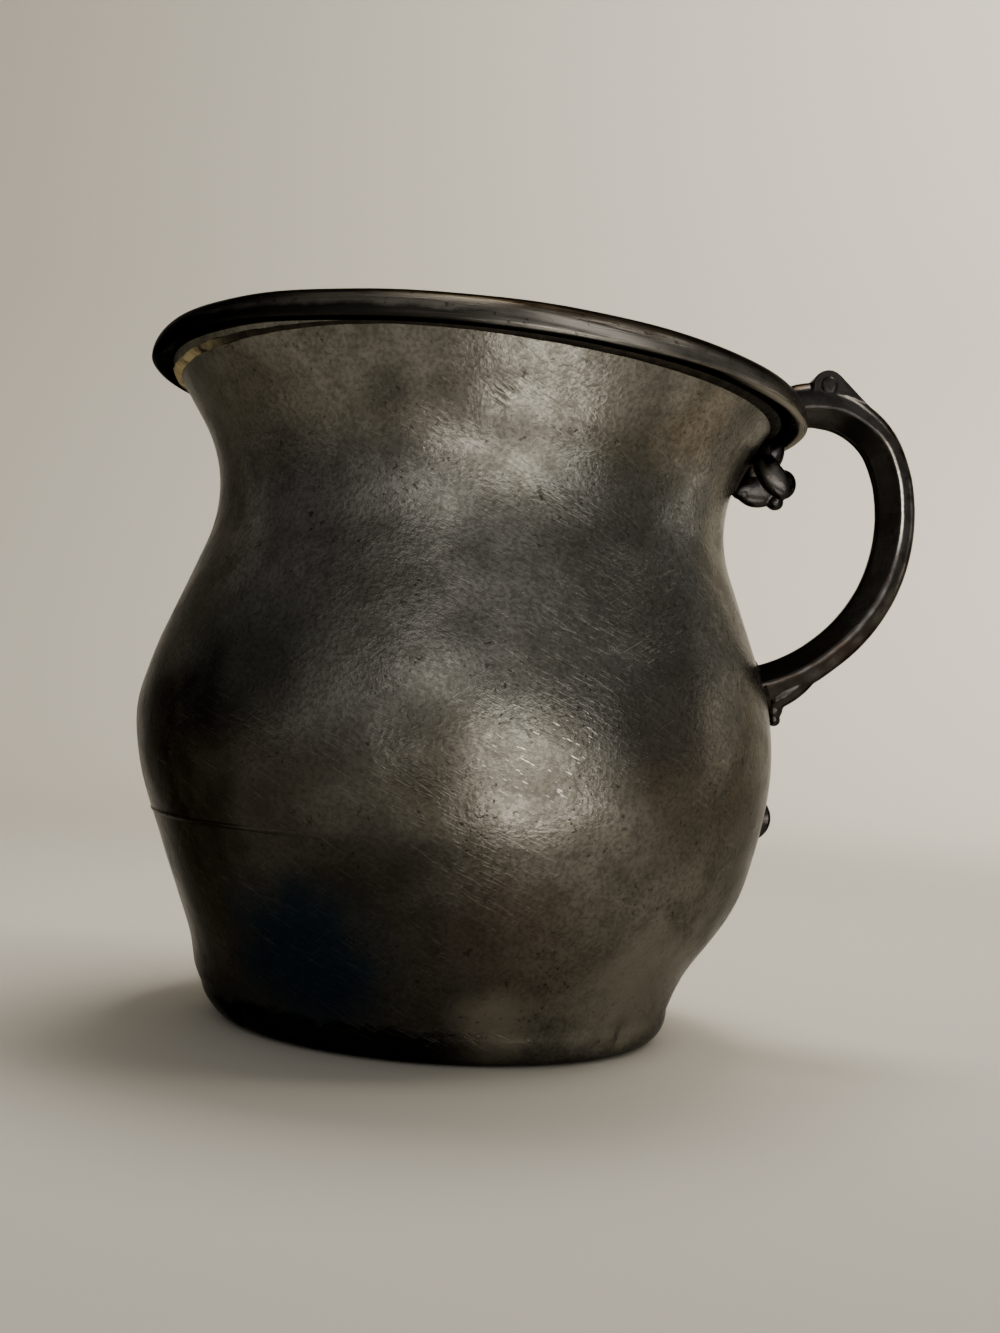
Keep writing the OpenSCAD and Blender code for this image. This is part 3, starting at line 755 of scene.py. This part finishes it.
# %% Lower shell
FOOT_BORE_R, BASE_Z, SEAM_Z = 26.0, 3.0, 26.5
EDGE_TALL, EDGE_DEEP = 4.2, 2.4
GROOVE, GROOVE_DEEP, HAIR = 0.25, 0.4, 0.02


def lower_shell():
    flat_r = FOOT_R - EDGE_DEEP
    bulge = skin_r(EDGE_TALL) - flat_r
    outside = [(flat_r + bulge * r, EDGE_TALL * (1 + z)) for r, z in arc((0, 0), 1, -90, 0, 10)]
    outside += [(skin_r(z), z) for z in levels(EDGE_TALL, SEAM_Z - GROOVE, 0.8)[1:]]
    root = [(skin_r(SEAM_Z) - GROOVE_DEEP, SEAM_Z - HAIR)]
    inside = [(inner_r(z), z) for z in levels(SEAM_Z - HAIR, BASE_Z, 1.2)]
    bore = [(FOOT_BORE_R, BASE_Z), (FOOT_BORE_R, 0.4), (FOOT_BORE_R + 0.4, 0)]
    bm = turned(outside + root + inside + bore)
    dented(bm)
    return piece(bm, "lower_shell", body_pewter, "lower_body")


lower_shell()

# %% [markdown]
# The upper shell runs from the seam into the rim. It is turned too long, and its end is cut on the
# slant of the rim with bisect_plane. The two open loops that the cut leaves are joined by bridge_loops.

# %% Upper shell
IN_RIM, TOO_LONG = 2.2, 5


def upper_shell():
    outside = [(skin_r(z), z) for z in levels(SEAM_Z + GROOVE, RIM_Z + TOO_LONG, 0.8)]
    inside = [(inner_r(z), z) for z in levels(RIM_Z + TOO_LONG, SEAM_Z + HAIR, 1.2)]
    bm = turned([(skin_r(SEAM_Z) - GROOVE_DEEP, SEAM_Z + HAIR)] + outside + inside)
    dented(bm)
    slant = Vector((math.sin(RAKE), 0, math.cos(RAKE)))
    bmesh.ops.bisect_plane(bm, geom=bm.verts[:] + bm.edges[:] + bm.faces[:], dist=1e-7,
                           plane_co=(0, 0, (RIM_Z + IN_RIM) * MM), plane_no=slant, clear_outer=True)
    bmesh.ops.bridge_loops(bm, edges=[e for e in bm.edges if e.is_boundary])
    bmesh.ops.recalc_face_normals(bm, faces=bm.faces[:])
    return piece(bm, "upper_shell", body_pewter, "upper_body")


upper_shell()

# %% [markdown]
# The seam's solder is filed flush, but in front on the left it stays a little proud and shows as a line.

# %% Seam solder
SEAM_ROOT, PROUD_AT, PROUD_SPREAD, PROUD = 0.42, 212, 26, 0.2


def seam_run():
    crown = [(skin_r(SEAM_Z + d) + 0.01, SEAM_Z + d) for d in (-0.3, -0.1, 0.1, 0.3)]
    bm = turned([(skin_r(SEAM_Z) - SEAM_ROOT, SEAM_Z)] + crown)
    dented(bm)
    for v in bm.verts:
        if 0.05 < abs(v.co.z / MM - SEAM_Z) < 0.2:
            apart = degrees_from(math.atan2(v.co.y, v.co.x), PROUD_AT)
            widened(v, 1 + PROUD * math.exp(-(apart / PROUD_SPREAD) ** 4) / BELLY_R)
    return piece(bm, "seam_run", body_pewter, "seam_solder")


seam_run()

# %% [markdown]
# ## The rim
# The rim is a heavy half-round band. Its section is drawn lying on its own underside, spun, tilted
# about Y by two degrees so that it falls towards the handle, and lifted to its height. Its underside
# is hollowed behind a thin lip, as an undercut turned on a lathe is, and solder fills the hollow.

# %% Rim band
RIM_H, MOUTH_R, MOUTH_EDGE, NOSE_R, UNDERCUT, RIM_WAVE = 4.8, 38.8, 1.5, 3.6, 0.7, 0.16


def raked(bm):
    turn = Matrix.Translation((0, 0, RIM_Z * MM)) @ Matrix.Rotation(RAKE, 4, "Y")
    bmesh.ops.transform(bm, matrix=turn, verts=bm.verts[:])


def rim_band():
    nose = (RIM_R - NOSE_R, RIM_H - NOSE_R)
    low = math.degrees(math.asin((UNDERCUT + 0.35 - nose[1]) / NOSE_R))
    rabbet = [(THROAT_R + 1.8, 1.15), (THROAT_R + 0.7, 1.3), (THROAT_R - 0.8, 1.3), (THROAT_R - 1.2, 0.0)]
    mouth = arc((MOUTH_R + MOUTH_EDGE, RIM_H - MOUTH_EDGE), MOUTH_EDGE, 180, 90, 6)
    lip = [(RIM_R - 0.28, UNDERCUT + 0.08), (RIM_R - 0.75, UNDERCUT - 0.1), (RIM_R - 1.5, UNDERCUT + 0.1)]
    bm = turned(rabbet + [(MOUTH_R, 0.0)] + mouth + arc(nose, NOSE_R, 90, low, 16) + lip)
    for v in bm.verts:
        v.co.z += RIM_WAVE * MM * unevenness(math.atan2(v.co.y, v.co.x), v.co.z / MM, 3, 6)
    raked(bm)
    return piece(bm, "rim_moulding", rim_pewter, "rim_band", sharp=50)


rim_band()

# %% [markdown]
# The rim's solder hangs lower on the side away from the handle, where it filled the hollow, and it ends
# there in a rough crust. Two noises, of about 3 mm and 1 mm, make its lumps.

# %% Rim solder
# Spreads are in radians, and how far the fill and the crust hang down is in mm
FILL_SPREAD, FILL, CRUST_SPREAD, CRUST = 1.1, 1.1, 0.7, 0.5
LUMPS, CRUST_LUMPS = 0.05, 0.2


def rim_run():
    section = [(-1.1, 1.5), (1.1, 1.5), (0.9, 1.15), (0.4, 0.85), (-1.1, 0.6)]
    bm = turned([(THROAT_R + r, z) for r, z in section], 512)
    for v in bm.verts:
        apart = abs(math.atan2(v.co.y, v.co.x)) - math.pi
        filled = math.exp(-(apart / FILL_SPREAD) ** 4)
        crust = math.exp(-(apart / CRUST_SPREAD) ** 2)
        lump = noise.noise(Vector(v.co) * 300) + 0.5 * noise.noise(Vector(v.co) * 900)
        v.co.z += MM * (-FILL * filled - CRUST * crust + (LUMPS + CRUST_LUMPS * crust) * lump)
        widened(v, 1 + (0.01 * crust + (0.001 + 0.003 * crust) * lump))
    raked(bm)
    return piece(bm, "rim_run", tin_solder, "rim_solder", sharp=80)


rim_run()

# %% [markdown]
# ## The handle
# The handle is a cast scroll: a tight bend that springs from the rim, one long arc to the belly, a
# thumb scroll on top, and a foot of two lobes with a hooked tail. The bend and the arc share a tangent
# where they meet, so the arc's radius follows from the point on the belly where it has to end. The limb
# runs on by three degrees into the wall. Tables give its depth, its width and its lift off the centre
# line at stations from 0 at the rim to 1 at the foot.

# %% Handle's centre line
BEND_R, BEND_START, BEND_END, BEND_SHARE = 10.3, 118.0, 24.0, 0.45
BEND_C = Vector((RIM_R + 2.1, RIM_Z - RIM_R * math.sin(RAKE) + 5.9 - BEND_R))
DEPTH, WIDTH, FOOT_Z, INTO_WALL = 3.1, 3.5, 48.1, 3
DEPTHS = [(0, 0.7), (0.06, 0.98), (0.16, 1.04), (0.3, 0.9), (0.45, 0.88), (0.65, 0.88), (0.85, 0.84),
          (1, 0.9)]
WIDTHS = [(0, 0.6), (0.05, 0.85), (0.2, 1), (0.5, 0.95), (0.85, 0.76), (1, 0.95)]
LIFTS = [(0, 0.4), (0.16, 0.45), (0.3, 0.2), (0.5, 0.55), (0.7, 0.2), (0.85, -0.25), (1, -0.2)]


def pointing(degrees):
    return Vector((math.cos(math.radians(degrees)), math.sin(math.radians(degrees))))


toward = pointing(BEND_END)
sweep_start = BEND_C + BEND_R * toward
foot = Vector((skin_r(FOOT_Z), FOOT_Z))
to_foot = foot - sweep_start
SWEEP_R = to_foot.dot(to_foot) / (-2 * to_foot.dot(toward))
SWEEP_C = sweep_start - SWEEP_R * toward
from_c = foot - SWEEP_C
FOOT_ANGLE = math.degrees(math.atan2(from_c.y, from_c.x))


def between(t, table):
    for (t0, v0), (t1, v1) in zip(table, table[1:]):
        if t <= t1:
            return v0 + (v1 - v0) * (t - t0) / (t1 - t0)
    return table[-1][1]


def limb_station(t):
    if t < BEND_SHARE:
        centre, radius, angle = BEND_C, BEND_R, BEND_START + (BEND_END - BEND_START) * t / BEND_SHARE
    else:
        turn = (FOOT_ANGLE - INTO_WALL - BEND_END) * (t - BEND_SHARE) / (1 - BEND_SHARE)
        centre, radius, angle = SWEEP_C, SWEEP_R, BEND_END + turn
    out = pointing(angle)
    return (centre + (radius + between(t, LIFTS)) * out, out,
            DEPTH * between(t, DEPTHS), WIDTH * between(t, WIDTHS))


stations = [limb_station(t / 40) for t in range(41)]
print("handle reaches x %.1f mm" % max(middle.x + depth for middle, out, depth, width in stations))

# %% [markdown]
# The limb's section is a rounded back and two flat flanks that meet it in a ridge. A flat grid becomes
# the limb: one direction is wrapped round the section and the other is laid along the stations, each
# turned and sized for its place. The two ends are then closed.

# %% Handle's limb
RIDGES = [(0, -0.3), (0.15, -0.3), (0.3, -0.15), (0.45, 0.0), (1, -0.1)]


def swept(bm, station, outline, steps, sides):
    sheet = bmesh.ops.create_grid(bm, x_segments=sides, y_segments=steps, size=1)["verts"]
    for v in sheet:
        middle, out, depth, width = station((v.co.y + 1) / 2)
        along, across = outline(math.pi * (v.co.x + 1), (v.co.y + 1) / 2)
        spot = middle + depth * along * out
        v.co = (spot.x * MM, width * across * MM, spot.y * MM)
    bmesh.ops.remove_doubles(bm, verts=sheet, dist=1e-6)
    bmesh.ops.holes_fill(bm, edges=[e for e in bm.edges if e.is_boundary], sides=0)
    bmesh.ops.recalc_face_normals(bm, faces=bm.faces[:])


def ridged(angle, t):
    ridge = between(t, RIDGES)
    c, s = math.cos(angle), math.sin(angle)
    along = ridge + (1 + ridge if c < 0 else 1 - ridge) * c
    half = 0.25 + 0.75 * (1 + c) if c < 0 else (1 - c ** 2.2) ** 0.6
    return along, 0 if abs(s) < 1e-4 else math.copysign(half, s)


def limb():
    bm = bmesh.new()
    swept(bm, limb_station, ridged, steps=90, sides=48)
    return bm


print("the ridge lies at (%.2f, %.2f) of the half section" % ridged(math.pi / 2, 0.5))

# %% [markdown]
# The thumb scroll is the hull of two rolls that lie across the handle. A smaller, longer roll stands out
# at both ends of it, like the eye of a scroll. The lobes of the foot and the hooked tail are eggs:
# spheres that are stretched, leaned and moved by one matrix.

# %% Thumb scroll, foot lobe and tail
KNOB = BEND_C + Vector((1.0, BEND_R + 2.75))
HEEL = BEND_C + (BEND_R + 0.5 * DEPTH) * pointing(47)
KNOB_R, HEEL_R, EYE_R, EYE_PROUD = 2.2, 0.9, 1.05, 0.35
KNOB_HALF, HEEL_HALF = 0.75 * WIDTH, 0.45 * WIDTH
# Centre in x and z, the three radii, and the lean in degrees
FOOT_EGGS = [
    ((45.3, 48.0), (4.7, 2.45, 1.7), 38),
    ((43.4, 45.0), (1.5, 1.5, 1.2), 60),
    ((43.5, 43.7), (0.95, 1.3, 0.85), 0)]


def lying_roll(bm, centre, radius, half_width):
    place = (Matrix.Translation((centre[0] * MM, 0, centre[1] * MM))
             @ Matrix.Rotation(math.radians(90), 4, "X"))
    return bmesh.ops.create_cone(bm, cap_ends=True, segments=32, radius1=radius * MM, radius2=radius * MM,
                                 depth=2 * half_width * MM, matrix=place)["verts"]


def thumb_scroll(bm):
    both = lying_roll(bm, KNOB, KNOB_R, KNOB_HALF) + lying_roll(bm, HEEL, HEEL_R, HEEL_HALF)
    hull = bmesh.ops.convex_hull(bm, input=both)
    spare = set(hull["geom_interior"] + hull["geom_unused"])
    bmesh.ops.delete(bm, geom=[g for g in spare if isinstance(g, bmesh.types.BMVert)], context="VERTS")
    lying_roll(bm, KNOB, EYE_R, KNOB_HALF + EYE_PROUD)


def egg(bm, centre, radii, lean, y=0.0):
    place = (Matrix.Translation((centre[0] * MM, y * MM, centre[1] * MM))
             @ Matrix.Rotation(math.radians(-lean), 4, "Y")
             @ Matrix.Diagonal((radii[0] * MM, radii[1] * MM, radii[2] * MM, 1)))
    bmesh.ops.create_uvsphere(bm, u_segments=32, v_segments=20, radius=1, matrix=place)


print("the thumb scroll's eye is at x %.1f, z %.1f mm" % tuple(KNOB))

# %% [markdown]
# A voxel remesh turns overlapping closed shapes into one skin of small even faces. A few passes of
# smoothing then round the corners as wear does. Both are modifiers, and the mesh that they give is
# taken over as the piece's own, so nothing is left to work out later.

# %% Melting the casting
def melted(bm, voxel_mm, passes):
    mesh = bpy.data.meshes.new("melt")
    bm.to_mesh(mesh)
    bm.free()
    block = bpy.data.objects.new("melt", mesh)
    bpy.context.scene.collection.objects.link(block)
    skin = block.modifiers.new("skin", "REMESH")
    skin.mode = "VOXEL"
    skin.voxel_size = voxel_mm * MM
    wear = block.modifiers.new("wear", "SMOOTH")
    wear.factor = 0.5
    wear.iterations = passes
    done = bpy.data.meshes.new_from_object(block.evaluated_get(bpy.context.evaluated_depsgraph_get()))
    fresh = bmesh.new()
    fresh.from_mesh(done)
    bpy.data.objects.remove(block)
    bpy.data.meshes.remove(mesh)
    bpy.data.meshes.remove(done)
    return fresh


def scroll_handle():
    bm = limb()
    thumb_scroll(bm)
    for centre, radii, lean in FOOT_EGGS:
        egg(bm, centre, radii, lean)
    skin = melted(bm, voxel_mm=0.2, passes=6)
    return piece(skin, "scroll_handle", cast_pewter, "handle", sharp=70)


scroll_handle()

# %% [markdown]
# ## The bracket under the rim
# In the corner under the rim, on the handle side, a small cast leaf curls against the neck. It hangs on
# a stem from the rim, a midrib runs down each side of it, and its tip curls outwards. Its parts are
# eggs of different lengths, laid over each other and melted together like the handle.

# %% Bracket
STEM_AND_LEAF = [
    ((40.9, 80.8), (1.8, 1.5, 2.7), -8),
    ((40.3, 79.5), (2.0, 1.4, 1.7), -20),
    ((38.7, 78.3), (1.9, 1.3, 1.6), -20),
    ((39.3, 75.8), (3.3, 1.2, 2.8), 10),
    ((37.6, 75.6), (2.2, 1.1, 1.6), 20),
    ((42.7, 76.5), (1.9, 2.0, 2.1), 0),
    ((41.8, 73.9), (1.2, 1.2, 1.1), 0)]
MIDRIB, MIDRIB_Y = ((41.1, 77.2), (3.5, 1.0, 1.8), -52), 1.5


def leaf_bracket():
    bm = bmesh.new()
    for centre, radii, lean in STEM_AND_LEAF:
        egg(bm, centre, radii, lean)
    for side in (-1, 1):
        egg(bm, *MIDRIB, MIDRIB_Y * side)
    skin = melted(bm, voxel_mm=0.15, passes=7)
    return piece(skin, "leaf_bracket", cast_pewter, "neck_bracket", sharp=70)


leaf_bracket()

# %% [markdown]
# ## Solids that stay
# The base, the bud on the belly and the small solder runs already have their shape, so they only get
# their finish.

# %% Finishes for the solids that stay
FINISHES = {"base_disc": body_pewter, "belly_drop": cast_pewter, "base_solder": tin_solder,
            "handle_top_solder": tin_solder, "handle_foot_solder": tin_solder,
            "bracket_solder": tin_solder}
for name, material in FINISHES.items():
    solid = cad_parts[name]
    solid.data.materials.clear()
    solid.data.materials.append(material)
print("finished solids:", sorted(FINISHES))
